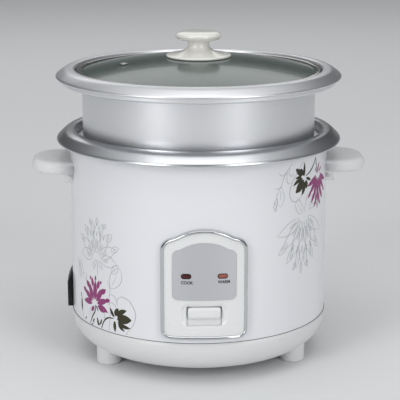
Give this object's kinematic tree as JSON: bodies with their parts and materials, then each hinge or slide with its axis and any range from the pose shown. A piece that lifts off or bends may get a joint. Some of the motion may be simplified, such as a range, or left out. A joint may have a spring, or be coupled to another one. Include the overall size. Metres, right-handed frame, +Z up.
{
  "type": "rice cooker",
  "caption": "Drum-shaped electric rice cooker with a lift-out pot, a stacked aluminium steamer tray, a domed glass lid, side handles and a lever switch on an arched front panel.",
  "frame": {"origin": "on the table surface under the middle of the body", "axes": "+Z up, -Y is the front with the control panel, the handles stand out along +X and -X"},
  "size_m": [0.33, 0.2808, 0.3213],
  "materials": {
    "white_enamel": "gloss white baked paint on the drum",
    "silver_rim": "satin silver pressed rim",
    "white_plastic": "moulded white plastic",
    "ivory_plastic": "moulded ivory white heat-proof plastic",
    "zinc_steel": "zinc plated pressed steel",
    "cast_aluminium": "machined die-cast aluminium",
    "drawn_aluminium": "spun and drawn satin aluminium",
    "spring_steel": "drawn spring wire",
    "ferrite": "sintered ferrite",
    "porcelain": "insulating ceramic",
    "black_plastic": "moulded black plastic",
    "chrome_trim": "chromed moulding",
    "brushed_fascia": "brushed silver plate",
    "red_lens": "dark red lamp lens",
    "amber_lens": "pale red-brown lamp lens",
    "lamp_glass": "neon lamp glass",
    "brass": "brass contact pins",
    "fibre_sleeve": "glass fibre sleeved lead",
    "lid_glass": "toughened glass, grey-green",
    "stainless": "polished stainless band"
  },
  "bodies": {
    "cooker_body": {"base_cover": "white_plastic", "base_screws": "zinc_steel", "bracket_screws": "zinc_steel", "cook_lens": "red_lens", "feet": "white_plastic", "foot_screws": "zinc_steel", "handle_screws": "zinc_steel", "heater_terminals": "porcelain", "heating_plate": "cast_aluminium", "inlet_pins": "brass", "inlet_screws": "zinc_steel", "inner_liner": "zinc_steel", "keep_warm_thermostat": "porcelain", "left_handle": "white_plastic", "lever_bracket": "zinc_steel", "lever_screws": "zinc_steel", "live_lead": "fibre_sleeve", "microswitch": "black_plastic", "neon_lamps": "lamp_glass", "neutral_lead": "fibre_sleeve", "outer_shell": "white_enamel", "panel_housing": "white_plastic", "panel_plate": "brushed_fascia", "panel_screws": "zinc_steel", "panel_trim": "chrome_trim", "pivot_pin": "zinc_steel", "plate_screws": "zinc_steel", "power_inlet": "black_plastic", "right_handle": "white_plastic", "thermal_fuse": "fibre_sleeve", "thermostat_bracket": "zinc_steel", "top_ring": "silver_rim", "warm_lens": "amber_lens"},
    "inner_pot": {"inner_pot": "drawn_aluminium"},
    "steamer_tray": {"steamer_tray": "silver_rim"},
    "lid": {"lid_glass": "lid_glass", "lid_band": "stainless", "steam_vent": "stainless", "lid_knob": "ivory_plastic", "knob_washer": "ivory_plastic", "knob_screw": "stainless"},
    "cook_lever": {"switch_lever": "zinc_steel", "cook_paddle": "white_plastic"},
    "thermostat": {"thermostat_cap": "drawn_aluminium", "thermostat_ferrite": "ferrite", "thermostat_retainer": "zinc_steel", "thermostat_spring": "spring_steel", "release_spring": "spring_steel"},
    "magnet_rod": {"magnet": "ferrite", "magnet_holder": "zinc_steel", "pull_rod": "zinc_steel"}
  },
  "joints": [
    {"name": "pot_lift", "type": "slide", "parent": "cooker_body", "child": "inner_pot", "axis": [0, 0, 1], "range_m": [0, 0.2]},
    {"name": "steamer_lift", "type": "slide", "parent": "inner_pot", "child": "steamer_tray", "axis": [0, 0, 1], "range_m": [0, 0.12]},
    {"name": "lid_lift", "type": "slide", "parent": "steamer_tray", "child": "lid", "axis": [0, 0, 1], "range_m": [0, 0.12]},
    {"name": "cook_switch", "type": "hinge", "parent": "cooker_body", "child": "cook_lever", "pos_m": [0, -0.062, 0.056], "axis": [1, 0, 0], "range_deg": [0, 5]},
    {"name": "thermostat_press", "type": "slide", "parent": "cooker_body", "child": "thermostat", "axis": [0, 0, 1], "range_m": [-0.002, 0], "stiffness_N_per_m": 400, "springref_m": 0.004, "deforming": ["thermostat_spring"]},
    {"name": "magnet_lift", "type": "slide", "parent": "thermostat", "child": "magnet_rod", "axis": [0, 0, 1], "range_m": [0, 0.00545], "stiffness_N_per_m": 120, "springref_m": -0.01, "deforming": ["release_spring"]}
  ],
  "couplings": [
    {"joint": "magnet_lift", "follows": "cook_switch", "m_per_rad": 0.062}
  ]
}
